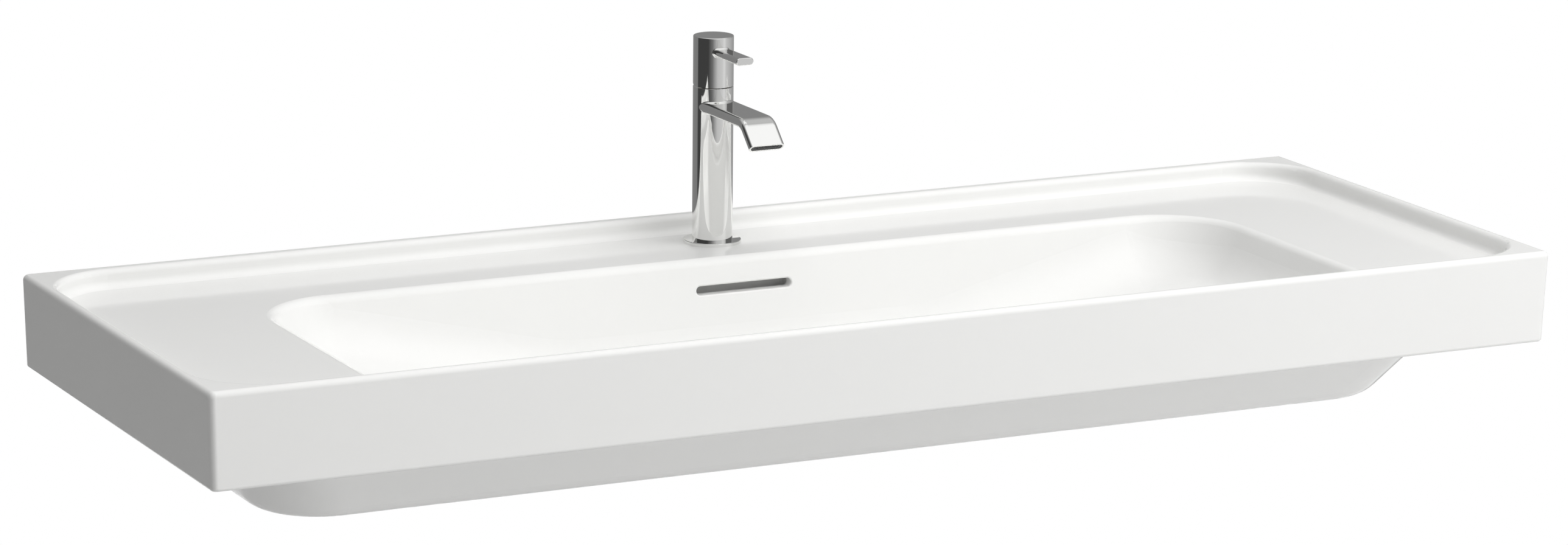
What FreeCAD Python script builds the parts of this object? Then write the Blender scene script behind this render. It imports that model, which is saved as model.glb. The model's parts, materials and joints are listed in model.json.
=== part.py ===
"""Wide ceramic vanity basin with a single-lever tap and a push-open waste.

Millimetres. +X is to the right seen from the front, +Y points at the wall, +Z is up.
The origin is midway between the two wall-bolt holes, on the wall plane.
"""
import FreeCAD
import Part

import math
import os

# Ceramic slab
slab_width = 1300.0
slab_depth = 470.0
slab_height = 85.0
slab_draft = 2.4
slab_corner_round = 5.5
slab_foot_round = 3.0
rim_width = 11.0
rim_outer_round = 5.0
rim_inner_round = 5.0
rim_flat = 0.5
recess_depth = 17.0
recess_corner_round = 64.0
recess_foot_round = 7.0
deck_thickness = 13.0

# Bowl, measured at the deck
bowl_length = 968.0
bowl_from_wall = 120.0
bowl_from_front = 20.0
bowl_depth = 108.0
bowl_back_corner = 74.0
bowl_front_corner = 40.0
bowl_foot_corner = 92.0
bowl_end_lean = 45.0
bowl_back_lean = 16.0
bowl_front_lean = 75.0
bowl_floor_round = 55.0
bowl_edge_round = 8.0
floor_flat_length = 380.0
floor_slope_deg = 13.0
floor_bend_radius = 200.0

# Under-bowl, measured at the slab's underside
under_length = 1178.0
under_depth = 65.0
under_from_front = 51.7
under_end_lean = 34.0
under_front_lean = 53.3
under_back_lean = 14.0
under_corner_round = 70.0
under_foot_round = 32.0

# Pocket behind the bowl, open below, where the tap is fastened
pocket_wall = 13.0
bowl_back_wall = 15.0
pocket_corner_round = 10.0

# Wall fixing
bolt_spacing = 280.0
bolt_hole_radius = 10.0
bolt_below_rim = 58.0

# Overflow slot, and the duct from it to the waste hole
slot_length = 96.5
slot_height = 8.4
slot_below_rim = 45.7
slot_edge_round = 1.5
duct_gap = 12.0
duct_wall = 8.0
duct_side_room = 2.0
duct_front_wall = 6.0
low_duct_width = 60.0
low_duct_height = 9.0
floor_thickness = 10.0
duct_corner_round = 6.0
duct_inner_round = 4.0

# Waste hole
waste_from_wall = 235.0
waste_hole_radius = 22.5
waste_boss_radius = 42.0
waste_boss_depth = 30.0

# Waste fitting
waste_flange_radius = 31.5
waste_flange_thickness = 2.5
waste_flange_room = 1.0
waste_flange_edge_round = 0.8
waste_thread_radius = 20.95
waste_tube_wall = 2.4
waste_window_width = 30.0
waste_thread_runout = 1.5
waste_tail_radius = 20.0
waste_tail = 9.0
waste_bar_width = 5.0
waste_bar_height = 9.0
flange_gasket_thickness = 1.5
flange_gasket_width = 7.5
lower_gasket_thickness = 3.0
lower_gasket_width = 9.0
back_nut_height = 9.0
back_nut_radius = 30.0
back_nut_notches = 8
back_nut_notch_radius = 3.0
back_nut_collar = 2.2

# Push-open plug
plug_radius = 29.0
plug_thickness = 3.0
plug_dome = 2.0
plug_rod_radius = 4.0
plug_cartridge_radius = 8.0
plug_cartridge_length = 24.0
plug_boss_radius = 11.0
plug_boss_height = 3.0
plug_seal_radius = 17.0
plug_seal_wire = 1.5
plug_rod_engagement = 20.0

# Tap outside
tap_from_wall = 55.0
tap_hole_radius = 17.5
flange_radius = 27.0
flange_thickness = 3.2
flange_edge_round = 0.6
tap_radius = 18.75
body_height = 144.3
spigot_radius = 16.2
spigot_drop = 5.0
head_height = 47.3
head_wall = 3.6
head_edge_round = 0.8
head_cavity_height = 24.0
head_boss_radius = 7.5
head_boss_gap = 8.0
seam_gap = 0.7
tilt_relief_deg = 15.0
seam_edge_round = 0.4
lever_width = 17.2
lever_thickness = 7.0
lever_reach = 67.0
lever_above_seam = 33.8
lever_socket_depth = 10.0
lever_edge_round = 0.8
lever_root_round = 1.2

# Spout
spout_width = 35.0
spout_thickness = 9.6
spout_below_seam = 17.8
spout_bend_at = 85.3
spout_bend_radius = 18.0
spout_droop_deg = 44.0
spout_nose_length = 21.1
spout_wall = 1.7
spout_root_round = 1.5
tenon_width = 18.0
tenon_height = 7.0
tenon_wall = 1.8
tenon_depth = 5.1

# Aerator in the spout's mouth
aerator_inset = 0.6
aerator_depth = 6.0
aerator_wall = 1.0
mesh_thickness = 0.8
mesh_ledge = 0.8
mesh_pitch = 1.45
mesh_hole = 1.0

# Valve cartridge under the handle
nut_inset = 1.0
nut_height = 6.0
nut_wrench_notch = 3.0
nut_wrench_depth = 3.0
nut_hole_radius = 9.3
nut_thread_radius = 14.5
cartridge_radius = 12.5
housing_wall = 1.4
housing_height = 20.0
housing_base = 3.0
window_width = 12.0
window_height = 4.4
disc_thickness = 3.0
moving_disc_radius = 7.0
carrier_thickness = 4.5
port_radius = 1.9
port_side = 3.2
port_back = 4.0
seal_depth = 1.4
seal_width = 1.2
pivot_drop = 4.5
pin_radius = 1.5
pin_length = 16.0
stem_width = 7.0
stem_above_seam = 23.5
stem_arm_radius = 1.6
stem_tip_radius = 2.2
stem_tip_lift = 2.6
guide_slot_length = 12.4
grub_radius = 2.5
grub_key_radius = 1.25
grub_key_depth = 2.0
grub_above_seam = 15.0
plug_cover_radius = 3.0
plug_cover_length = 3.0

# Tap inlets and fixing
inlet_side = 8.5
inlet_back = 2.0
inlet_thread_radius = 4.5
inlet_thread_length = 12.0
inlet_way_radius = 3.0
inlet_bend_drop = 45.0
base_gasket_inner = 19.0
base_gasket_outer = 24.5
base_gasket_thickness = 1.5
stud_radius = 4.0
stud_front = 9.5
stud_insert = 12.0
stud_tail = 8.0
clamp_radius = 24.0
clamp_slot_width = 31.0
clamp_slot_front = 3.5
clamp_washer_thickness = 2.5
clamp_plate_thickness = 3.0
stud_nut_flats = 13.0
stud_nut_height = 6.5

# Largest part of a neighbouring round or depth that a round may take
round_share = 0.95

# Clearances
seat_gap = 0.05
run_gap = 0.08
free_gap = 0.3
overrun = 1.0

# Levels and places worked out from the sizes above
rim_z = bolt_below_rim
deck_z = rim_z - recess_depth
deck_under_z = deck_z - deck_thickness
slab_under_z = rim_z - slab_height
under_z = slab_under_z - under_depth
floor_z = deck_z - bowl_depth
boss_z = floor_z - waste_boss_depth
low_duct_top_z = floor_z - floor_thickness
low_duct_foot_z = low_duct_top_z - low_duct_height
slot_z = rim_z - slot_below_rim
pocket_front_y = bowl_back_wall - bowl_from_wall
tap_y = -tap_from_wall
waste_y = -waste_from_wall
flange_top_z = deck_z + flange_thickness
seam_z = flange_top_z + body_height
pivot_z = seam_z - pivot_drop
nut_top_z = seam_z - nut_inset
housing_top_z = nut_top_z - nut_height
seat_z = housing_top_z - housing_height
disc_z = seat_z + housing_base
moving_disc_z = disc_z + disc_thickness + seat_gap
carrier_z = moving_disc_z + disc_thickness
guide_z = carrier_z + carrier_thickness + free_gap
tip_z = carrier_z + stem_tip_lift
spout_z = seam_z - spout_below_seam
lever_z = seam_z + lever_above_seam
spigot_z = deck_z - spigot_drop
clamp_z = deck_under_z - clamp_washer_thickness - clamp_plate_thickness
waste_seat_z = floor_z - waste_flange_thickness - flange_gasket_thickness
nut_seat_z = boss_z - lower_gasket_thickness
waste_shoulder_z = nut_seat_z - back_nut_height - waste_thread_runout
waste_foot_z = waste_shoulder_z - waste_tail
housing_bore = cartridge_radius - housing_wall

X_AXIS = FreeCAD.Vector(1, 0, 0)
Y_AXIS = FreeCAD.Vector(0, 1, 0)
Z_AXIS = FreeCAD.Vector(0, 0, 1)
TINY = 1e-4


def point(x, y, z):
    return FreeCAD.Vector(x, y, z)


def cylinder(radius, low_z, high_z, x=0.0, y=0.0):
    return Part.makeCylinder(radius, high_z - low_z, point(x, y, low_z))


def ring(outer, inner, low_z, high_z, x=0.0, y=0.0):
    return cylinder(outer, low_z, high_z, x, y).cut(cylinder(inner, low_z - overrun, high_z + overrun, x, y))


def box(x0, x1, y0, y1, z0, z1):
    return Part.makeBox(x1 - x0, y1 - y0, z1 - z0, point(x0, y0, z0))


def rounded_outline(x0, x1, y0, y1, z, front_round, back_round):
    """Closed wire of a rectangle whose front and back corners have their own radii, 0 for sharp ones."""
    corners = [
        (x0, y0, 1, 1, front_round),
        (x1, y0, -1, 1, front_round),
        (x1, y1, -1, -1, back_round),
        (x0, y1, 1, -1, back_round),
    ]
    edges = []
    ends = []
    for index, (x, y, inward_x, inward_y, radius) in enumerate(corners):
        along_x = point(x + inward_x * radius, y, z)
        along_y = point(x, y + inward_y * radius, z)
        first, last = (along_y, along_x) if index % 2 == 0 else (along_x, along_y)
        middle = point(
            x + inward_x * radius * (1 - math.sqrt(0.5)),
            y + inward_y * radius * (1 - math.sqrt(0.5)),
            z,
        )
        ends.append((first, middle, last, radius))
    for index, (first, middle, last, radius) in enumerate(ends):
        if radius > TINY:
            edges.append(Part.Arc(first, middle, last).toShape())
        following = ends[(index + 1) % len(ends)][0]
        edges.append(Part.LineSegment(last, following).toShape())
    return Part.Wire(edges)


def block(x0, x1, y0, y1, z0, z1, radius):
    """Upright block with rounded vertical edges."""
    face = Part.Face(rounded_outline(x0, x1, y0, y1, z0, radius, radius))
    return face.extrude(point(0, 0, z1 - z0))


def tapered(foot, foot_z, top, top_z):
    """Block with flat sides between two upright rectangles, each (x0, x1, y0, y1)."""
    sizes = [foot[0], foot_z, -foot[3], -top[3], top[0], foot[1], top_z, -foot[2], -top[2], top[1]]
    shape = Part.makeWedge(*sizes)
    shape.rotate(point(0, 0, 0), X_AXIS, 90)
    return shape


def upright_edges(shape, wanted):
    """Edges that run from bottom to top of a block and whose middle point is wanted."""
    height = shape.BoundBox.ZLength
    found = []
    for edge in shape.Edges:
        heights = [vertex.Z for vertex in edge.Vertexes]
        if max(heights) - min(heights) > height - overrun and wanted(edge.CenterOfMass):
            found.append(edge)
    return found


def stadium_face(width, height):
    """Flat bar section with full-round sides, in the XY plane."""
    half = height / 2
    run = width / 2 - half
    edges = [
        Part.LineSegment(point(-run, -half, 0), point(run, -half, 0)).toShape(),
        Part.Arc(point(run, -half, 0), point(run + half, 0, 0), point(run, half, 0)).toShape(),
        Part.LineSegment(point(run, half, 0), point(-run, half, 0)).toShape(),
        Part.Arc(point(-run, half, 0), point(-run - half, 0, 0), point(-run, -half, 0)).toShape(),
    ]
    return Part.Face(Part.Wire(edges))


def facing(shape, base, droop_deg=0.0):
    """Turn a shape drawn along +Z so that it heads forward, drooping by an angle, from a base point."""
    shape.Placement = FreeCAD.Placement(base, FreeCAD.Rotation(X_AXIS, 90.0 + droop_deg))
    return shape


def bar(width, height, start, end, z, x=0.0):
    """Stadium bar that runs forward, from one distance in front of the tap's axis to another."""
    solid = stadium_face(width, height).extrude(point(0, 0, end - start))
    return facing(solid, point(x, tap_y - start, z))


def edges_on_level(shape, z, wanted):
    """Edges that lie flat at one height and whose middle point is wanted."""
    found = []
    for edge in shape.Edges:
        middle = edge.valueAt((edge.FirstParameter + edge.LastParameter) / 2)
        heights = [vertex.Z for vertex in edge.Vertexes] + [middle.z]
        if all(abs(height - z) < TINY for height in heights) and wanted(middle):
            found.append(edge)
    return found


def one_solid(shape):
    return shape.removeSplitter().Solids[0]


# Ceramic basin

def slab():
    half = slab_width / 2
    foot_half = half - slab_draft
    foot = (-foot_half, foot_half, slab_draft - slab_depth, 0)
    shape = tapered(foot, slab_under_z, (-half, half, -slab_depth, 0), rim_z)
    front_corners = upright_edges(shape, lambda middle: middle.y < -slab_depth / 2)
    shape = shape.makeFillet(slab_corner_round, front_corners)
    largest = round_share * slab_corner_round
    rim_edges = edges_on_level(shape, rim_z, lambda middle: middle.y < -TINY)
    shape = shape.makeFillet(min(rim_outer_round, largest), rim_edges)
    foot_edges = edges_on_level(shape, slab_under_z, lambda middle: middle.y < -TINY)
    return shape.makeFillet(min(slab_foot_round, largest), foot_edges)


def recess():
    half = slab_width / 2 - rim_width
    front = rim_width - slab_depth
    tool = block(-half, half, front, -rim_width, deck_z, rim_z + overrun, recess_corner_round)
    foot_round = min(recess_foot_round, round_share * recess_depth)
    return tool.makeFillet(foot_round, edges_on_level(tool, deck_z, lambda middle: True))


def bowl_outline(z):
    """The bowl's plan at one height: every wall leans in steadily from the deck to the floor."""
    sunk = (deck_z - z) / bowl_depth
    half = bowl_length / 2 - bowl_end_lean * sunk
    back = -bowl_from_wall - bowl_back_lean * sunk
    front = bowl_from_front - slab_depth + bowl_front_lean * sunk
    front_corner = bowl_front_corner + (bowl_foot_corner - bowl_front_corner) * sunk
    back_corner = bowl_back_corner + (bowl_foot_corner - bowl_back_corner) * sunk
    return rounded_outline(-half, half, front, back, z, front_corner, back_corner)


def floor_profile(high_z):
    """Space above the bowl's floor, seen from the front: level in the middle, rising to both ends."""
    slope = math.radians(floor_slope_deg)
    half = floor_flat_length / 2
    bend = floor_bend_radius * math.tan(slope / 2)
    reach = slab_width / 2
    end_z = floor_z + (reach - half) * math.tan(slope)
    flat_end = point(half - bend, 0, floor_z)
    bend_middle = point(
        half - bend + floor_bend_radius * math.sin(slope / 2),
        0,
        floor_z + floor_bend_radius * (1 - math.cos(slope / 2)),
    )
    slope_start = point(half + bend * math.cos(slope), 0, floor_z + bend * math.sin(slope))
    slope_end = point(reach, 0, end_z)

    def mirrored(place):
        return point(-place.x, 0, place.z)

    edges = [
        Part.LineSegment(mirrored(flat_end), flat_end).toShape(),
        Part.Arc(flat_end, bend_middle, slope_start).toShape(),
        Part.LineSegment(slope_start, slope_end).toShape(),
        Part.LineSegment(slope_end, point(reach, 0, high_z)).toShape(),
        Part.LineSegment(point(reach, 0, high_z), point(-reach, 0, high_z)).toShape(),
        Part.LineSegment(point(-reach, 0, high_z), mirrored(slope_end)).toShape(),
        Part.LineSegment(mirrored(slope_end), mirrored(slope_start)).toShape(),
        Part.Arc(mirrored(slope_start), mirrored(bend_middle), mirrored(flat_end)).toShape(),
    ]
    return Part.Face(Part.Wire(edges)).extrude(point(0, -slab_depth, 0))


def bowl():
    """Space inside the bowl, with its floor blended into its walls."""
    high_z = deck_z + overrun
    walls = Part.makeLoft([bowl_outline(floor_z - overrun), bowl_outline(high_z)], True, True)
    tool = walls.common(floor_profile(high_z + overrun))
    steepest = -math.cos(math.radians(2 * floor_slope_deg))
    foot_faces = [face for face in tool.Faces if face.normalAt(0, 0).z < steepest]
    foot_edges = {}
    for face in foot_faces:
        for edge in face.Edges:
            foot_edges.setdefault(edge.hashCode(), []).append(edge)
    blend = [edges[0] for edges in foot_edges.values() if len(edges) == 1]
    return tool.makeFillet(bowl_floor_round, blend)


def under_outline(z):
    """The under-bowl's plan at one height: its walls lean in towards its flat foot."""
    sunk = (slab_under_z - z) / under_depth
    half = under_length / 2 - under_end_lean * sunk
    front = under_from_front - slab_depth + under_front_lean * sunk
    back = pocket_front_y - under_back_lean * sunk
    return rounded_outline(-half, half, front, back, z, under_corner_round, under_corner_round)


def under_bowl():
    shape = Part.makeLoft([under_outline(under_z), under_outline(slab_under_z + overrun)], True, True)
    foot_edges = edges_on_level(shape, under_z, lambda middle: True)
    return shape.makeFillet(under_foot_round, foot_edges)


def duct_block():
    """Thickened back wall that carries the overflow duct down behind the bowl."""
    half = slot_length / 2 + duct_side_room + duct_wall
    back = duct_back_y() + duct_wall
    return block(-half, half, pocket_front_y - bowl_back_wall, back, under_z, deck_under_z, duct_corner_round)


def duct_back_y():
    return duct_front_wall - bowl_from_wall + duct_gap


def duct():
    half = slot_length / 2 + duct_side_room
    top = slot_z + slot_height
    front = duct_front_wall - bowl_from_wall
    back = duct_back_y()
    upright = block(-half, half, front, back, low_duct_foot_z, top, duct_inner_round)
    low_half = low_duct_width / 2
    middle = (front + back) / 2
    return upright.fuse(box(-low_half, low_half, waste_y, middle, low_duct_foot_z, low_duct_top_z))


def overflow_slot():
    start = bowl_from_wall - duct_front_wall - duct_gap / 2
    end = bowl_from_wall + bowl_back_lean + overrun
    return bar(slot_length, slot_height, start - tap_from_wall, end - tap_from_wall, slot_z)


def slot_mouth(shape):
    """Edges of the overflow slot where it opens in the bowl's back wall."""
    wall_y = -bowl_from_wall - bowl_back_lean * (deck_z - slot_z) / bowl_depth
    found = []
    for edge in shape.Edges:
        away = edge.CenterOfMass - point(0, wall_y, slot_z)
        if abs(away.x) < slot_length and abs(away.y) < slot_height and abs(away.z) < slot_height:
            found.append(edge)
    return found


def pocket():
    """Hollow behind the bowl, interrupted in the middle by the overflow duct."""
    half = slab_width / 2 - slab_draft - pocket_wall
    low = slab_under_z - overrun
    return block(-half, half, pocket_front_y, -pocket_wall, low, deck_under_z, pocket_corner_round)


def basin():
    shape = slab().cut(recess())
    inner_round = min(rim_inner_round, rim_width - rim_outer_round - rim_flat)
    inside = slab_width / 2 - rim_width + TINY
    front = rim_width - slab_depth - TINY
    rim_edges = edges_on_level(
        shape,
        rim_z,
        lambda middle: abs(middle.x) < inside and front < middle.y < TINY - rim_width,
    )
    shape = shape.makeFillet(inner_round, rim_edges)
    shape = shape.cut(pocket()).fuse([under_bowl(), duct_block()])
    shape = shape.fuse(cylinder(waste_boss_radius, boss_z, floor_z, 0, waste_y))
    shape = shape.cut(bowl())
    bowl_front = bowl_from_front - slab_depth
    deck_edges = edges_on_level(
        shape,
        deck_z,
        lambda middle: abs(middle.x) < bowl_length / 2 + TINY
        and bowl_front - TINY < middle.y < TINY - bowl_from_wall,
    )
    shape = shape.makeFillet(bowl_edge_round, deck_edges)
    holes = [
        cylinder(tap_hole_radius, deck_under_z - overrun, deck_z + overrun, 0, tap_y),
        cylinder(waste_hole_radius, boss_z - overrun, floor_z + overrun, 0, waste_y),
        cylinder(waste_flange_radius + waste_flange_room, waste_seat_z, floor_z + overrun, 0, waste_y),
        duct(),
    ]
    for side in (-1, 1):
        start = point(side * bolt_spacing / 2, -pocket_wall - overrun, 0)
        holes.append(Part.makeCylinder(bolt_hole_radius, pocket_wall + 2 * overrun, start, Y_AXIS))
    shape = one_solid(shape.cut(overflow_slot()))
    shape = shape.makeFillet(slot_edge_round, slot_mouth(shape))
    return one_solid(shape.cut(holes))


# Tap: outside pieces

def tap_flange():
    shape = ring(flange_radius, spigot_radius + run_gap, deck_z, flange_top_z, 0, tap_y)
    hole_edge = spigot_radius + 2 * run_gap
    centre = point(0, tap_y, flange_top_z)
    outer_edge = edges_on_level(shape, flange_top_z, lambda middle: (middle - centre).Length > hole_edge)
    shape = shape.makeFillet(flange_edge_round, outer_edge)
    groove = ring(
        base_gasket_outer + seat_gap,
        base_gasket_inner - seat_gap,
        deck_z - overrun,
        deck_z + base_gasket_thickness,
        0,
        tap_y,
    )
    return shape.cut(groove)


def base_gasket():
    return ring(base_gasket_outer, base_gasket_inner, deck_z, deck_z + base_gasket_thickness, 0, tap_y)


def inlet_way(side):
    """Water way from a threaded inlet in the tap's base to its port under the cartridge."""
    x = side * inlet_side
    y = tap_y + inlet_back
    bend_z = seam_z - inlet_bend_drop
    thread = cylinder(inlet_thread_radius, spigot_z - overrun, spigot_z + inlet_thread_length, x, y)
    rise = cylinder(inlet_way_radius, spigot_z, bend_z, x, y)
    start = point(x, y, bend_z)
    end = point(side * port_side, tap_y + port_back, seat_z + overrun)
    slant = Part.makeCylinder(port_radius, (end - start).Length, start, end - start)
    return thread.fuse([rise, Part.makeSphere(inlet_way_radius, start), slant])


def tap_body():
    shape = cylinder(tap_radius, flange_top_z, seam_z, 0, tap_y)
    shape = shape.makeFillet(seam_edge_round, edges_on_level(shape, seam_z, lambda middle: True))
    shape = shape.fuse(cylinder(spigot_radius, spigot_z, flange_top_z + overrun, 0, tap_y))
    bores = [
        cylinder(cartridge_radius + run_gap, seat_z, seam_z + overrun, 0, tap_y),
        cylinder(nut_thread_radius, housing_top_z, seam_z + overrun, 0, tap_y),
        bar(
            tenon_width + 2 * seat_gap,
            tenon_height + 2 * seat_gap,
            tap_radius - tenon_depth,
            tap_radius + overrun,
            spout_z,
        ),
        bar(tenon_width - 2 * tenon_wall, tenon_height - 2 * tenon_wall, housing_bore, tap_radius, spout_z),
        cylinder(stud_radius, spigot_z - overrun, spigot_z + stud_insert, 0, tap_y - stud_front),
        inlet_way(-1),
        inlet_way(1),
    ]
    for bore in bores:
        shape = shape.cut(bore)
    return one_solid(shape)


def spout_run(width, height, root, nose):
    """Flat tube forward from the tap, round the bend and down the nose."""
    straight = bar(width, height, root, spout_bend_at, spout_z)
    bend_section = facing(stadium_face(width, height), point(0, tap_y - spout_bend_at, spout_z))
    bend_centre = point(0, tap_y - spout_bend_at, spout_z - spout_bend_radius)
    bend = bend_section.revolve(bend_centre, X_AXIS, spout_droop_deg)
    tip = stadium_face(width, height).extrude(point(0, 0, nose))
    tip = facing(tip, nose_point(0), spout_droop_deg)
    return straight.fuse([bend, tip]).removeSplitter()


def nose_point(along):
    """Point on the spout's middle line, a distance past the end of its bend."""
    droop = math.radians(spout_droop_deg)
    y = tap_y - spout_bend_at - spout_bend_radius * math.sin(droop) - along * math.cos(droop)
    z = spout_z - spout_bend_radius * (1 - math.cos(droop)) - along * math.sin(droop)
    return point(0, y, z)


def flared(shape, radius, low_z, high_z):
    """Trim a bar to the round wall that it stands on, with a small fillet where it meets the wall."""
    reach = tap_radius + seat_gap
    wall = cylinder(reach, low_z, high_z, 0, tap_y)
    joined = wall.fuse(shape)
    meeting = []
    for edge in joined.Edges:
        places = edge.discretize(5)
        on_wall = all(abs(math.hypot(place.x, place.y - tap_y) - reach) < TINY for place in places)
        heights = [place.z for place in places]
        inside = low_z + TINY < min(heights) and max(heights) < high_z - TINY
        if on_wall and inside and max(place.y for place in places) < tap_y:
            meeting.append(edge)
    return joined.makeFillet(radius, meeting).cut(wall)


def spout():
    shape = spout_run(spout_width, spout_thickness, 0, spout_nose_length)
    shape = flared(shape, spout_root_round, flange_top_z, seam_z)
    tenon = bar(tenon_width, tenon_height, tap_radius - tenon_depth, tap_radius + spout_wall, spout_z)
    shape = shape.fuse(tenon)
    channel_width = spout_width - 2 * spout_wall
    channel_height = spout_thickness - 2 * spout_wall
    channel = spout_run(channel_width, channel_height, tap_radius + spout_wall, spout_nose_length + overrun)
    inlet = bar(
        tenon_width - 2 * tenon_wall,
        tenon_height - 2 * tenon_wall,
        tap_radius - tenon_depth - overrun,
        tap_radius + 2 * spout_wall,
        spout_z,
    )
    return one_solid(shape.cut([channel, inlet]))


def aerator_section(inset):
    width = spout_width - 2 * spout_wall - 2 * inset
    height = spout_thickness - 2 * spout_wall - 2 * inset
    return stadium_face(width, height)


def in_mouth(face, inner, outer):
    """Extrude a section along the nose, between two depths behind the mouth."""
    solid = face.extrude(point(0, 0, inner - outer))
    return facing(solid, nose_point(spout_nose_length - inner), spout_droop_deg)


def aerator_frame():
    face = aerator_inset
    inner = aerator_inset + aerator_depth
    shape = in_mouth(aerator_section(seat_gap), inner, face)
    seat = in_mouth(aerator_section(seat_gap + aerator_wall), face + mesh_thickness, face - overrun)
    way = in_mouth(aerator_section(seat_gap + aerator_wall + mesh_ledge), inner + overrun, face)
    return one_solid(shape.cut([seat, way]))


def aerator_mesh():
    inset = 2 * seat_gap + aerator_wall
    width = spout_width - 2 * spout_wall - 2 * inset
    height = spout_thickness - 2 * spout_wall - 2 * inset
    plate = stadium_face(width, height).extrude(point(0, 0, mesh_thickness))
    columns = int((width - height) / mesh_pitch)
    rows = int((height - mesh_hole / 2) / mesh_pitch)
    holes = []
    for column in range(columns):
        for row in range(rows):
            x = (column - (columns - 1) / 2) * mesh_pitch
            y = (row - (rows - 1) / 2) * mesh_pitch
            half = mesh_hole / 2
            holes.append(box(x - half, x + half, y - half, y + half, -overrun, mesh_thickness + overrun))
    plate = plate.cut(Part.makeCompound(holes))
    depth = aerator_inset + mesh_thickness
    return facing(one_solid(plate), nose_point(spout_nose_length - depth), spout_droop_deg)


def handle_head():
    low = seam_z + seam_gap
    top = seam_z + head_height
    shape = cylinder(tap_radius, low, top, 0, tap_y)
    relief = box(-2 * tap_radius, 2 * tap_radius, 0, 2 * tap_radius, -tap_radius, 0)
    relief.Placement = FreeCAD.Placement(point(0, tap_y, low), FreeCAD.Rotation(X_AXIS, tilt_relief_deg))
    shape = shape.cut(relief)
    top_edges = edges_on_level(shape, top, lambda middle: True)
    shape = shape.makeFillet(head_edge_round, top_edges)
    cavity_top = seam_z + head_cavity_height
    cavity = cylinder(tap_radius - head_wall, low - overrun, cavity_top, 0, tap_y)
    cavity = cavity.cut(cylinder(head_boss_radius, seam_z + head_boss_gap, cavity_top, 0, tap_y))
    half = stem_width / 2 + seat_gap
    socket = box(-half, half, tap_y - half, tap_y + half, low, seam_z + stem_above_seam + seat_gap)
    lever_socket = bar(
        lever_width + 2 * seat_gap,
        lever_thickness + 2 * seat_gap,
        tap_radius - lever_socket_depth,
        tap_radius + overrun,
        lever_z,
    )
    grub_z = seam_z + grub_above_seam
    grub_start = point(0, tap_y, grub_z)
    grub_hole = Part.makeCylinder(grub_radius + seat_gap, head_boss_radius + overrun, grub_start, Y_AXIS)
    cover_start = point(0, tap_y + head_boss_radius + overrun, grub_z)
    cover_hole = Part.makeCylinder(plug_cover_radius + seat_gap, tap_radius, cover_start, Y_AXIS)
    return one_solid(shape.cut([cavity, socket, lever_socket, grub_hole, cover_hole]))


def lever():
    shape = bar(lever_width, lever_thickness, 0, lever_reach, lever_z)
    shape = flared(shape, lever_root_round, seam_z, seam_z + head_height)
    tenon = bar(lever_width, lever_thickness, tap_radius - lever_socket_depth, tap_radius + overrun, lever_z)
    shape = one_solid(shape.fuse(tenon))
    tip_y = tap_y - lever_reach
    tip_edges = []
    for edge in shape.Edges:
        if all(abs(vertex.Y - tip_y) < TINY for vertex in edge.Vertexes):
            tip_edges.append(edge)
    return shape.makeFillet(lever_edge_round, tip_edges)


def grub_screw():
    start = point(0, tap_y + stem_width / 2 + seat_gap, seam_z + grub_above_seam)
    length = head_boss_radius - stem_width / 2 - 2 * seat_gap
    shape = Part.makeCylinder(grub_radius, length, start, Y_AXIS)
    key = Part.makePolygon([
        point(
            grub_key_radius * math.cos(math.radians(60 * step)),
            start.y + length,
            start.z + grub_key_radius * math.sin(math.radians(60 * step)),
        )
        for step in range(7)
    ])
    return shape.cut(Part.Face(key).extrude(point(0, -grub_key_depth, 0)))


def handle_plug():
    reach = math.sqrt(tap_radius ** 2 - plug_cover_radius ** 2)
    start = point(0, tap_y + reach - plug_cover_length, seam_z + grub_above_seam)
    return Part.makeCylinder(plug_cover_radius, plug_cover_length, start, Y_AXIS)


# Tap: valve cartridge

def retaining_nut():
    shape = ring(nut_thread_radius - seat_gap, nut_hole_radius, housing_top_z, nut_top_z, 0, tap_y)
    half = nut_wrench_notch / 2
    reach = nut_thread_radius + overrun
    deep = nut_top_z - nut_wrench_depth
    notches = [
        box(-reach, reach, tap_y - half, tap_y + half, deep, seam_z),
        box(-half, half, tap_y - reach, tap_y + reach, deep, seam_z),
    ]
    return one_solid(shape.cut(notches))


def ports(radius, low_z, high_z):
    return [cylinder(radius, low_z, high_z, side * port_side, tap_y + port_back) for side in (-1, 1)]


def cartridge_housing():
    shape = cylinder(cartridge_radius, seat_z, housing_top_z, 0, tap_y)
    bore = cylinder(housing_bore, disc_z, housing_top_z + overrun, 0, tap_y)
    window = bar(window_width, window_height, 0, cartridge_radius + overrun, spout_z)
    ways = ports(port_radius, seat_z - overrun, disc_z + overrun)
    seats = ports(port_radius + seal_width, seat_z - overrun, seat_z + seal_depth)
    return one_solid(shape.cut([bore, window] + ways + seats))


def inlet_seals():
    outer = port_radius + seal_width - seat_gap
    top = seat_z + seal_depth
    y = tap_y + port_back
    rings = [ring(outer, port_radius, seat_z, top, side * port_side, y) for side in (-1, 1)]
    return Part.makeCompound(rings)


def fixed_disc():
    shape = cylinder(housing_bore - run_gap, disc_z, disc_z + disc_thickness, 0, tap_y)
    return one_solid(shape.cut(ports(port_radius, disc_z - overrun, disc_z + disc_thickness + overrun)))


def moving_disc():
    return cylinder(moving_disc_radius, moving_disc_z, carrier_z, 0, tap_y)


def disc_carrier():
    top = carrier_z + carrier_thickness
    half = stem_tip_radius + free_gap
    shape = cylinder(moving_disc_radius, carrier_z, top, 0, tap_y)
    return shape.cut(box(-half, half, tap_y - half, tap_y + half, carrier_z - overrun, top + overrun))


def pin_hole(radius):
    start = point(-tap_radius, tap_y, pivot_z)
    return Part.makeCylinder(radius, 2 * tap_radius, start, X_AXIS)


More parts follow.
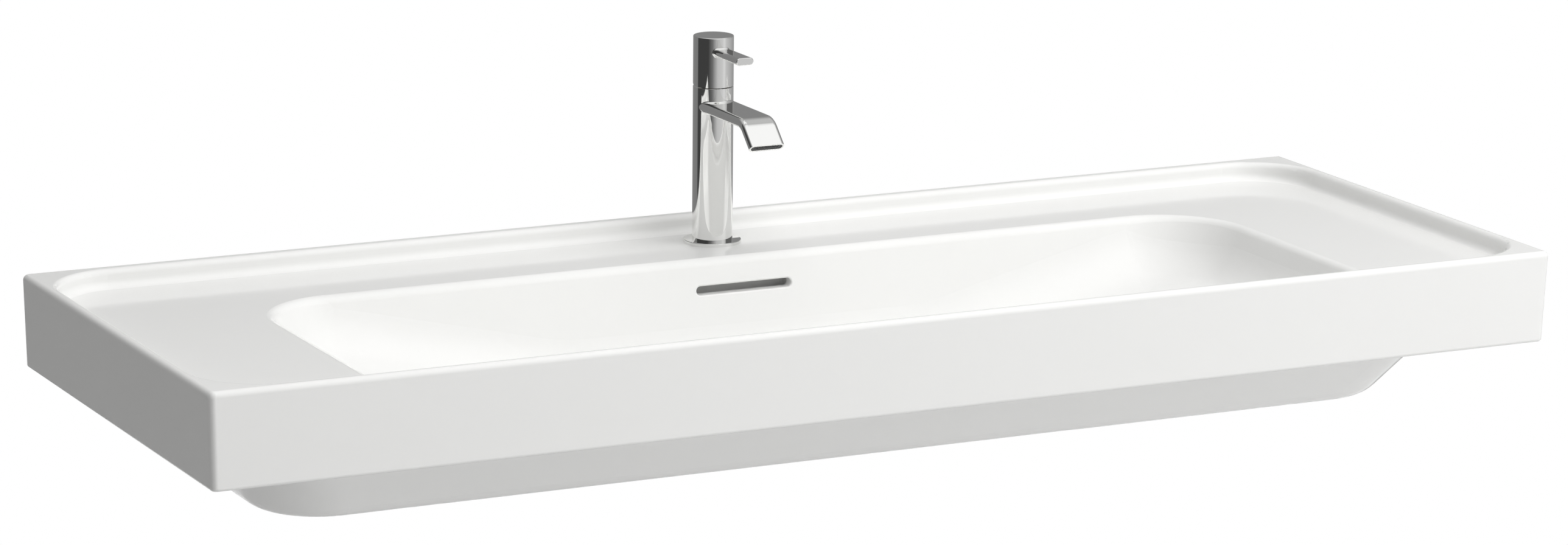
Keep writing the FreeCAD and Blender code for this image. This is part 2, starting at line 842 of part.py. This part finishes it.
def stem_guide():
    flange = cylinder(housing_bore - run_gap, guide_z, housing_top_z - run_gap, 0, tap_y)
    shape = flange.fuse(cylinder(nut_hole_radius - run_gap, guide_z, nut_top_z, 0, tap_y))
    half = stem_width / 2 + free_gap / 2
    reach = guide_slot_length / 2
    slot = box(-half, half, tap_y - reach, tap_y + reach, guide_z - overrun, seam_z)
    return one_solid(shape.cut([slot, pin_hole(pin_radius)]))


def stem_pin():
    start = point(-pin_length / 2, tap_y, pivot_z)
    return Part.makeCylinder(pin_radius - seat_gap / 2, pin_length, start, X_AXIS)


def stem():
    half = stem_width / 2
    eye_z = pivot_z - half
    shape = box(-half, half, tap_y - half, tap_y + half, eye_z, seam_z + stem_above_seam)
    arm = cylinder(stem_arm_radius, tip_z, pivot_z, 0, tap_y)
    tip = Part.makeSphere(stem_tip_radius, point(0, tap_y, tip_z))
    return one_solid(shape.fuse([arm, tip]).cut(pin_hole(pin_radius + seat_gap)))


# Tap: fixing under the deck

def clamp(low_z, high_z):
    """Horseshoe round the supply inlets, with a hole for the stud."""
    shape = cylinder(clamp_radius, low_z, high_z, 0, tap_y)
    half = clamp_slot_width / 2
    slot = box(-half, half, tap_y - clamp_slot_front, tap_y + clamp_radius, low_z - overrun, high_z + overrun)
    hole = cylinder(stud_radius + free_gap, low_z - overrun, high_z + overrun, 0, tap_y - stud_front)
    return one_solid(shape.cut([slot, hole]))


def clamp_washer():
    return clamp(deck_under_z - clamp_washer_thickness, deck_under_z)


def clamp_plate():
    return clamp(clamp_z, clamp_z + clamp_plate_thickness)


def hexagon(flats, low_z, high_z, x, y):
    radius = flats / math.sqrt(3)
    turns = [math.radians(60 * step) for step in range(7)]
    corners = [point(x + radius * math.cos(turn), y + radius * math.sin(turn), low_z) for turn in turns]
    return Part.Face(Part.makePolygon(corners)).extrude(point(0, 0, high_z - low_z))


def stud_nut():
    low = clamp_z - stud_nut_height
    shape = hexagon(stud_nut_flats, low, clamp_z, 0, tap_y - stud_front)
    return shape.cut(cylinder(stud_radius, low - overrun, clamp_z + overrun, 0, tap_y - stud_front))


def tap_stud():
    low = clamp_z - stud_nut_height - stud_tail
    return cylinder(stud_radius - seat_gap, low, spigot_z + stud_insert, 0, tap_y - stud_front)


# Waste fitting in the bowl's floor

def waste_body():
    """Threaded tube with a flange, a plain tail and a cross bar that holds the plug's cartridge."""
    bore = waste_thread_radius - waste_tube_wall
    flange = cylinder(waste_flange_radius, floor_z - waste_flange_thickness, floor_z, 0, waste_y)
    rim = edges_on_level(flange, floor_z, lambda middle: True)
    flange = flange.makeFillet(waste_flange_edge_round, rim)
    thread = cylinder(waste_thread_radius, waste_shoulder_z, floor_z, 0, waste_y)
    tail = cylinder(waste_tail_radius, waste_foot_z, waste_shoulder_z + overrun, 0, waste_y)
    shape = flange.fuse([thread, tail])
    shape = shape.cut(cylinder(bore, waste_foot_z - overrun, floor_z + overrun, 0, waste_y))
    half = waste_window_width / 2
    front = waste_y - waste_flange_radius
    back = waste_y + waste_flange_radius
    windows = box(-half, half, front, back, low_duct_foot_z, low_duct_top_z)
    low = plug_cartridge_z()
    top = low + waste_bar_height
    half = waste_bar_width / 2
    cross = box(-waste_thread_radius, waste_thread_radius, waste_y - half, waste_y + half, low, top)
    cross = cross.fuse(cylinder(plug_cartridge_radius + waste_tube_wall, low, top, 0, waste_y))
    cross = cross.common(cylinder(waste_thread_radius - waste_tube_wall / 2, low, top, 0, waste_y))
    seat = cylinder(plug_cartridge_radius + seat_gap, low - overrun, top + overrun, 0, waste_y)
    return one_solid(shape.cut(windows).fuse(cross).cut(seat))


def plug_cartridge_z():
    """Foot of the plug's cartridge, which leaves room for the plug's boss above its head."""
    return floor_z - plug_boss_height - free_gap - plug_cartridge_length


def flange_gasket():
    inner = waste_flange_radius - flange_gasket_width
    return ring(waste_flange_radius, inner, waste_seat_z, waste_seat_z + flange_gasket_thickness, 0, waste_y)


def waste_gasket():
    inner = waste_thread_radius + seat_gap
    return ring(inner + lower_gasket_width, inner, nut_seat_z, boss_z, 0, waste_y)


def back_nut():
    low = nut_seat_z - back_nut_height
    notch_top = nut_seat_z - back_nut_collar
    shape = ring(back_nut_radius, waste_thread_radius + seat_gap, low, nut_seat_z, 0, waste_y)
    notches = []
    for step in range(back_nut_notches):
        turn = math.radians(360 * step / back_nut_notches)
        x = back_nut_radius * math.cos(turn)
        y = waste_y + back_nut_radius * math.sin(turn)
        notches.append(cylinder(back_nut_notch_radius, low - overrun, notch_top, x, y))
    return one_solid(shape.cut(notches))


def plug_cartridge():
    low = plug_cartridge_z()
    top = low + plug_cartridge_length
    shape = cylinder(plug_cartridge_radius, low, top, 0, waste_y)
    bore = cylinder(plug_rod_radius + seat_gap, top - plug_rod_engagement, top + overrun, 0, waste_y)
    return shape.cut(bore)


def plug_rod():
    top = floor_z - plug_boss_height + free_gap
    low = plug_cartridge_z() + plug_cartridge_length - plug_rod_engagement + free_gap
    return cylinder(plug_rod_radius, low, top, 0, waste_y)


def plug_cap():
    """Domed cap over the flange, with a boss below that is screwed on the rod."""
    low = floor_z + free_gap
    crown = low + plug_thickness + plug_dome
    dome_radius = (plug_radius ** 2 + plug_dome ** 2) / (2 * plug_dome)
    dome = Part.makeSphere(dome_radius, point(0, waste_y, crown - dome_radius))
    cap = cylinder(plug_radius, low, crown, 0, waste_y).common(dome)
    return one_solid(cap.fuse(cylinder(plug_boss_radius, low - plug_boss_height, low, 0, waste_y)))


def plug_seal():
    inner = plug_seal_radius - 2 * plug_seal_wire
    top = floor_z + free_gap
    return ring(plug_seal_radius, inner, top - plug_seal_wire, top, 0, waste_y)


NODES = [
    basin,
    tap_flange,
    base_gasket,
    tap_body,
    spout,
    aerator_frame,
    aerator_mesh,
    handle_head,
    lever,
    grub_screw,
    handle_plug,
    retaining_nut,
    cartridge_housing,
    inlet_seals,
    fixed_disc,
    moving_disc,
    disc_carrier,
    stem_guide,
    stem_pin,
    stem,
    clamp_washer,
    clamp_plate,
    stud_nut,
    tap_stud,
    waste_body,
    flange_gasket,
    waste_gasket,
    back_nut,
    plug_cartridge,
    plug_rod,
    plug_cap,
    plug_seal,
]

os.makedirs("parts", exist_ok=True)
for make in NODES:
    make().exportStep("parts/" + make.__name__ + ".step")
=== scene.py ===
import json
import math

import bpy
from mathutils import Matrix, Vector


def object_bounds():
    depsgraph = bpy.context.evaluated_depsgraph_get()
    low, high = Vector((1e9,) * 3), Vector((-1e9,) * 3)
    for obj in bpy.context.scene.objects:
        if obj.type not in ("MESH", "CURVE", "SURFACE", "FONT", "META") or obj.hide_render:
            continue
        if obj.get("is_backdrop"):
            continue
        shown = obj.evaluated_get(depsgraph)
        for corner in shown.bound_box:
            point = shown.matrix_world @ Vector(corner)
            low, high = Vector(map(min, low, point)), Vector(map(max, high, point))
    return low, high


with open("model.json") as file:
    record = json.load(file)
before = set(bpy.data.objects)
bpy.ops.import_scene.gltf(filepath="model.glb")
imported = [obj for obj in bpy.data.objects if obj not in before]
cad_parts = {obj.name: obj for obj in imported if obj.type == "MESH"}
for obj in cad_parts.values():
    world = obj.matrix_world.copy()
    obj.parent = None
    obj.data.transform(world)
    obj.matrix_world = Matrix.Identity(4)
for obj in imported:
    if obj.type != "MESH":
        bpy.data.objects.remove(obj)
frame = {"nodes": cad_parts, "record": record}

cad_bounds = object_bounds()

# Camera, fitted to the photograph's edges
image_width_px = 2576
focal_length_px = 9046.3
sensor_width_mm = 36.0
camera_place = Vector((-2.1571, -4.5541, 1.1545))
camera_azimuth_deg = 26.385
camera_elevation_deg = 12.898
camera_roll_deg = 0.581

# Floor, which fades into the white backdrop
floor_drop = 0.79
floor_radius = 1.9
floor_fade_start = 0.9
floor_sides = 96
floor_colour = (0.79, 0.79, 0.79)

# Sides of the dome that light matt surfaces: the axis, its sign and the level
dome_sides = {
    "right": ("X", 1.0, 0.13),
    "back": ("Y", 1.0, 1.46),
    "front": ("Y", -1.0, 0.59),
}
lamps = [
    {"name": "key", "place": (2.6, -1.9, 1.5), "size": 2.2, "power": 21.5},
    {"name": "over", "place": (0.4, -1.4, 2.6), "size": 4.0, "power": 92.0},
    {"name": "low_right", "place": (2.4, -2.6, -0.15), "size": 1.2, "power": 17.5},
]
lamp_aim = Vector((0.1, -0.25, 0.0))

# Panels round the set, seen only in gloss
panel_radius = 4.0
panel_foot = -4.0
panel_top = 9.0
panel_sides = 120
# Heights between which the levels by direction give way to an even one
panel_rise = (2.0, 5.5)
panel_top_level = 0.55
# Their levels by the turn in degrees from the front towards +X: grey behind the set, dark on
# the left, bright in front and brightest to the right of it
panel_levels = [
    (-180, 0.23),
    (-127, 0.20),
    (-123, 0.05),
    (-56, 0.05),
    (-32, 0.16),
    (0, 0.55),
    (27, 0.62),
    (41, 0.74),
    (55, 0.57),
    (110, 0.37),
    (154, 0.24),
    (180, 0.23),
]

# Dark flag in front of the panels, to the right of the set, also seen only in gloss
flag_turns_deg = (60, 124)
flag_radius = 3.8
flag_foot = 0.4
flag_top = 1.3
flag_level = 0.13
flag_sides = 24

# Softbox over the set, also seen only in gloss, which falls off towards its back edge
softbox_level = 1.04
softbox_edge_level = 0.5
softbox_fade = 0.75
softbox_height = 2.9
softbox_x = (-2.0, 3.0)
softbox_y = (-4.0, 0.15)

WHITE = (1.0, 1.0, 1.0)
EVEN = (1.0, 1.0, 1.0)
noise_detail = 3.0


def new_material(name):
    material = bpy.data.materials.new(name)
    material.use_nodes = True
    return material


def math_node(nodes, links, operation, first, second):
    """Result of an operation on two values, each a socket or a number."""
    node = nodes.new("ShaderNodeMath")
    node.operation = operation
    for socket, value in zip(node.inputs, (first, second)):
        if isinstance(value, bpy.types.NodeSocket):
            links.new(value, socket)
        else:
            socket.default_value = value
    return node.outputs[0]


def along_axes(nodes, links, kind):
    """Parts along X, Y and Z of a kind of texture coordinate."""
    place = nodes.new("ShaderNodeTexCoord")
    parts = nodes.new("ShaderNodeSeparateXYZ")
    links.new(place.outputs[kind], parts.inputs[0])
    return parts.outputs


def smooth_step(nodes, links, value, start, end):
    """Map range that eases over from one end to the other between two values."""
    step = nodes.new("ShaderNodeMapRange")
    step.interpolation_type = "SMOOTHSTEP"
    step.inputs["From Min"].default_value = start
    step.inputs["From Max"].default_value = end
    links.new(value, step.inputs["Value"])
    return step


def noise(nodes, links, size, stretch=EVEN):
    """Soft noise with lumps of about a size in metres, drawn out along the axes."""
    place = nodes.new("ShaderNodeTexCoord")
    mapping = nodes.new("ShaderNodeMapping")
    mapping.inputs["Scale"].default_value = [1 / (size * part) for part in stretch]
    links.new(place.outputs["Object"], mapping.inputs["Vector"])
    texture = nodes.new("ShaderNodeTexNoise")
    texture.inputs["Scale"].default_value = 1.0
    texture.inputs["Detail"].default_value = noise_detail
    links.new(mapping.outputs["Vector"], texture.inputs["Vector"])
    return texture.outputs["Fac"]


def surface(
    name, colour, tint, roughness, spread, patch, grain, relief, stretch=EVEN, **sockets
):
    """Finish with patches that differ a little in tone and gloss, over a fine relief.

    tint and spread are half the range of tone and roughness, patch and grain are sizes in
    metres, and relief is a height in metres. Other values go to the shader's own sockets.
    """
    material = new_material(name)
    nodes, links = material.node_tree.nodes, material.node_tree.links
    shader = nodes["Principled BSDF"]
    for socket, value in sockets.items():
        shader.inputs[socket.replace("_", " ")].default_value = value

    patches = noise(nodes, links, patch)
    tone = nodes.new("ShaderNodeValToRGB")
    for stop, share in zip(tone.color_ramp.elements, (1 - tint, 1 + tint)):
        stop.color = (*(share * part for part in colour), 1.0)
    links.new(patches, tone.inputs["Fac"])
    links.new(tone.outputs["Color"], shader.inputs["Base Color"])
    gloss = nodes.new("ShaderNodeMapRange")
    gloss.inputs["To Min"].default_value = roughness - spread
    gloss.inputs["To Max"].default_value = roughness + spread
    links.new(patches, gloss.inputs["Value"])
    links.new(gloss.outputs["Result"], shader.inputs["Roughness"])

    bump = nodes.new("ShaderNodeBump")
    bump.inputs["Distance"].default_value = relief
    links.new(noise(nodes, links, grain, stretch), bump.inputs["Height"])
    links.new(bump.outputs["Normal"], shader.inputs["Normal"])
    return material


def finishes():
    """One finish for each material slot of the record."""
    return {
        "ceramic": surface(
            "glaze", (0.87, 0.87, 0.857), tint=0.004, roughness=0.12, spread=0.03,
            patch=0.05, grain=0.006, relief=1.5e-5, Specular_IOR_Level=0.2,
        ),
        "chrome": surface(
            "chrome", (0.885, 0.885, 0.875), tint=0.006, roughness=0.022, spread=0.008,
            patch=0.008, grain=0.005, relief=1e-6, Metallic=1.0,
        ),
        "steel": surface(
            "steel", (0.60, 0.60, 0.59), tint=0.04, roughness=0.30, spread=0.08,
            patch=0.003, grain=0.0004, relief=6e-6, stretch=(10.0, 1.0, 1.0), Metallic=1.0,
        ),
        "brass": surface(
            "brass", (0.74, 0.56, 0.29), tint=0.05, roughness=0.25, spread=0.06,
            patch=0.004, grain=0.0005, relief=8e-6, stretch=(30.0, 30.0, 1.0), Metallic=1.0,
        ),
        "rubber": surface(
            "rubber", (0.035, 0.035, 0.035), tint=0.2, roughness=0.70, spread=0.08,
            patch=0.003, grain=0.0008, relief=3e-5,
        ),
        "white_plastic": surface(
            "white_plastic", (0.80, 0.80, 0.78), tint=0.01, roughness=0.45, spread=0.05,
            patch=0.004, grain=0.0007, relief=1e-5,
        ),
        "grey_plastic": surface(
            "grey_plastic", (0.06, 0.06, 0.062), tint=0.08, roughness=0.40, spread=0.06,
            patch=0.003, grain=0.0006, relief=1e-5,
        ),
        "cover_plastic": surface(
            "cover_plastic", (0.62, 0.63, 0.65), tint=0.02, roughness=0.20, spread=0.04,
            patch=0.002, grain=0.0008, relief=4e-6, Metallic=0.6,
        ),
        "disc_ceramic": surface(
            "disc_ceramic", (0.90, 0.89, 0.86), tint=0.01, roughness=0.30, spread=0.05,
            patch=0.003, grain=0.0004, relief=3e-6,
        ),
    }


def dress():
    """Give every solid its finish."""
    finish = finishes()
    slots = {part["node"]: part["material_slot"] for part in frame["record"]["subparts"]}
    for name, node in frame["nodes"].items():
        if not node.data.materials:
            node.data.materials.append(None)
        for material_slot in node.material_slots:
            material_slot.material = finish[slots[name]]


def seen_directly(nodes, links):
    """1 for what is seen, in metal and through glass too, and 0 for light on matt surfaces."""
    path = nodes.new("ShaderNodeLightPath")
    total = path.outputs["Is Camera Ray"]
    for kind in ("Is Glossy Ray", "Is Transmission Ray"):
        total = math_node(nodes, links, "MAXIMUM", total, path.outputs[kind])
    return total


def mix_to_output(nodes, links, output_type, share, first, second):
    """Send a mix of two shaders to an output, by the second one's share."""
    mix = nodes.new("ShaderNodeMixShader")
    links.new(share, mix.inputs[0])
    links.new(first.outputs[0], mix.inputs[1])
    links.new(second.outputs[0], mix.inputs[2])
    output = nodes.new(output_type)
    links.new(mix.outputs[0], output.inputs["Surface"])


def dome_strength(nodes, links):
    """Blend of the levels of the dome's sides, by the squares of a direction's parts."""
    direction = along_axes(nodes, links, "Generated")
    total = 0.0
    for axis, sign, level in dome_sides.values():
        towards = math_node(nodes, links, "MULTIPLY", direction[axis], sign)
        facing = math_node(nodes, links, "MAXIMUM", towards, 0.0)
        square = math_node(nodes, links, "MULTIPLY", facing, facing)
        light = math_node(nodes, links, "MULTIPLY", square, level)
        total = math_node(nodes, links, "ADD", light, total)
    return total


def white_world():
    """White backdrop where it is seen, and the dome's levels as light on matt surfaces."""
    world = bpy.data.worlds.new("studio")
    bpy.context.scene.world = world
    world.use_nodes = True
    nodes, links = world.node_tree.nodes, world.node_tree.links
    nodes.clear()
    ambient = nodes.new("ShaderNodeBackground")
    ambient.inputs["Color"].default_value = (*WHITE, 1.0)
    links.new(dome_strength(nodes, links), ambient.inputs["Strength"])
    backdrop = nodes.new("ShaderNodeBackground")
    backdrop.inputs["Color"].default_value = (*WHITE, 1.0)
    backdrop.inputs["Strength"].default_value = 1.0
    shown = seen_directly(nodes, links)
    mix_to_output(nodes, links, "ShaderNodeOutputWorld", shown, ambient, backdrop)


def floor_finish():
    """Pale matt floor that fades into the white backdrop towards its edge."""
    material = new_material("floor")
    nodes, links = material.node_tree.nodes, material.node_tree.links
    nodes.clear()
    place = nodes.new("ShaderNodeTexCoord")
    away = nodes.new("ShaderNodeVectorMath")
    away.operation = "LENGTH"
    links.new(place.outputs["Object"], away.inputs[0])
    fade = smooth_step(nodes, links, away.outputs["Value"], floor_fade_start, floor_radius)
    seen = seen_directly(nodes, links)
    shown = math_node(nodes, links, "MULTIPLY", fade.outputs["Result"], seen)
    matt = nodes.new("ShaderNodeBsdfDiffuse")
    matt.inputs["Color"].default_value = (*floor_colour, 1.0)
    backdrop = nodes.new("ShaderNodeEmission")
    backdrop.inputs["Color"].default_value = (*WHITE, 1.0)
    mix_to_output(nodes, links, "ShaderNodeOutputMaterial", shown, matt, backdrop)
    return material


def glow(name):
    """Material that only gives light, and the socket of its strength."""
    material = new_material(name)
    nodes, links = material.node_tree.nodes, material.node_tree.links
    nodes.clear()
    light = nodes.new("ShaderNodeEmission")
    output = nodes.new("ShaderNodeOutputMaterial")
    links.new(light.outputs[0], output.inputs["Surface"])
    return material, light.inputs["Strength"]


def softbox_finish():
    """Glow that falls off towards the back edge."""
    material, strength = glow("softbox")
    nodes, links = material.node_tree.nodes, material.node_tree.links
    place = along_axes(nodes, links, "Object")
    back_edge = (softbox_y[1] - softbox_y[0]) / 2
    level = smooth_step(nodes, links, place["Y"], back_edge, back_edge - softbox_fade)
    level.inputs["To Min"].default_value = softbox_edge_level
    level.inputs["To Max"].default_value = softbox_level
    links.new(level.outputs["Result"], strength)
    return material


def panel_finish():
    """Glow that goes by direction round the set, and evens out towards the ceiling."""
    material, strength = glow("panels")
    nodes, links = material.node_tree.nodes, material.node_tree.links
    place = along_axes(nodes, links, "Object")
    front = math_node(nodes, links, "MULTIPLY", place["Y"], -1.0)
    turn = math_node(nodes, links, "ARCTAN2", place["X"], front)
    share = nodes.new("ShaderNodeMapRange")
    share.inputs["From Min"].default_value = -math.pi
    share.inputs["From Max"].default_value = math.pi
    links.new(turn, share.inputs["Value"])
    ramp = nodes.new("ShaderNodeValToRGB")
    stops = ramp.color_ramp.elements
    stops.remove(stops[1])
    for index, (turn_deg, level) in enumerate(panel_levels):
        position = (turn_deg + 180) / 360
        stop = stops.new(position) if index else stops[0]
        stop.position = position
        stop.color = (level, level, level, 1.0)
    links.new(share.outputs["Result"], ramp.inputs["Fac"])

    blend = smooth_step(nodes, links, place["Z"], *panel_rise)
    links.new(ramp.outputs["Color"], blend.inputs["To Min"])
    blend.inputs["To Max"].default_value = panel_top_level
    links.new(blend.outputs["Result"], strength)
    return material


def flag_finish():
    material, strength = glow("flag")
    strength.default_value = flag_level
    return material


def circle_points(radius, sides):
    turns = [2 * math.pi * step / sides for step in range(sides)]
    return [(radius * math.cos(turn), radius * math.sin(turn)) for turn in turns]


def arc_points(radius, turns_deg, sides):
    """Points of an arc between two turns from the front towards +X."""
    start, end = turns_deg
    turns = [math.radians(start + (end - start) * step / sides) for step in range(sides + 1)]
    return [(radius * math.sin(turn), -radius * math.cos(turn)) for turn in turns]


def disc_mesh(name, radius, sides):
    mesh = bpy.data.meshes.new(name)
    places = [(x, y, 0) for x, y in circle_points(radius, sides)]
    mesh.from_pydata(places, [], [range(sides)])
    return mesh


def card_mesh(name, width, height):
    x, y = width / 2, height / 2
    mesh = bpy.data.meshes.new(name)
    mesh.from_pydata([(-x, -y, 0), (x, -y, 0), (x, y, 0), (-x, y, 0)], [], [(0, 1, 2, 3)])
    return mesh


def band_mesh(name, points, foot, top, closed):
    """Upright band between two heights, over a row of points in plan."""
    over = len(points)
    places = [(x, y, z) for z in (foot, top) for x, y in points]
    pairs = [(side, (side + 1) % over) for side in range(over if closed else over - 1)]
    faces = [(this, after, over + after, over + this) for this, after in pairs]
    mesh = bpy.data.meshes.new(name)
    mesh.from_pydata(places, [], faces)
    return mesh


def stage_piece(name, mesh, material, matrix):
    mesh.materials.append(material)
    piece = bpy.data.objects.new(name, mesh)
    piece.matrix_world = matrix
    bpy.context.scene.collection.objects.link(piece)
    piece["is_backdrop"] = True
    return piece


def only_in_gloss(piece):
    """Keep a stage piece out of the picture, and let it light nothing but gloss."""
    piece.visible_camera = False
    piece.visible_diffuse = False
    piece.visible_shadow = False


def lamp(name, place, size, power):
    data = bpy.data.lights.new(name, "AREA")
    data.shape = "DISK"
    data.size = size
    data.energy = power
    light = bpy.data.objects.new(name, data)
    light.location = place
    light.rotation_euler = (lamp_aim - Vector(place)).to_track_quat("-Z", "Y").to_euler()
    light.visible_glossy = False
    bpy.context.scene.collection.objects.link(light)


def studio():
    """Floor, gloss-only panels, flag and softbox, and lamps."""
    low, high = cad_bounds
    middle = (Vector(low) + Vector(high)) / 2
    floor_place = Matrix.Translation((middle.x, middle.y, -floor_drop))
    disc = disc_mesh("floor", floor_radius, floor_sides)
    stage_piece("floor", disc, floor_finish(), floor_place)

    panel_place = Matrix.Translation((middle.x, middle.y, high[2]))
    circle = circle_points(panel_radius, panel_sides)
    ring = band_mesh("panels", circle, panel_foot, panel_top, closed=True)
    only_in_gloss(stage_piece("panels", ring, panel_finish(), panel_place))
    arc = arc_points(flag_radius, flag_turns_deg, flag_sides)
    flag = band_mesh("flag", arc, flag_foot, flag_top, closed=False)
    only_in_gloss(stage_piece("flag", flag, flag_finish(), panel_place))

    card = card_mesh("softbox", softbox_x[1] - softbox_x[0], softbox_y[1] - softbox_y[0])
    softbox_place = Matrix.Translation((sum(softbox_x) / 2, sum(softbox_y) / 2, softbox_height))
    only_in_gloss(stage_piece("softbox", card, softbox_finish(), softbox_place))

    for settings in lamps:
        lamp(**settings)


def photo_camera():
    azimuth = math.radians(camera_azimuth_deg)
    elevation = math.radians(camera_elevation_deg)
    roll = math.radians(camera_roll_deg)
    forward = Vector((
        math.cos(elevation) * math.sin(azimuth),
        math.cos(elevation) * math.cos(azimuth),
        -math.sin(elevation),
    ))
    level_right = forward.cross(Vector((0, 0, 1))).normalized()
    level_up = level_right.cross(forward)
    right = math.cos(roll) * level_right + math.sin(roll) * level_up
    up = right.cross(forward)
    data = bpy.data.cameras.new("photo")
    data.sensor_fit = "HORIZONTAL"
    data.sensor_width = sensor_width_mm
    data.lens = focal_length_px / image_width_px * sensor_width_mm
    camera = bpy.data.objects.new("photo", data)
    turn = Matrix((right, up, -forward)).transposed().to_4x4()
    camera.matrix_world = Matrix.Translation(camera_place) @ turn
    bpy.context.scene.collection.objects.link(camera)
    bpy.context.scene.camera = camera


dress()
white_world()
studio()
photo_camera()
bpy.context.scene.view_settings.view_transform = "Standard"

bpy.context.view_layer.update()
boxes = {"cad": cad_bounds, "visual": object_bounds()}
boxes = {name: [[float(value) for value in corner] for corner in corners] for name, corners in boxes.items()}
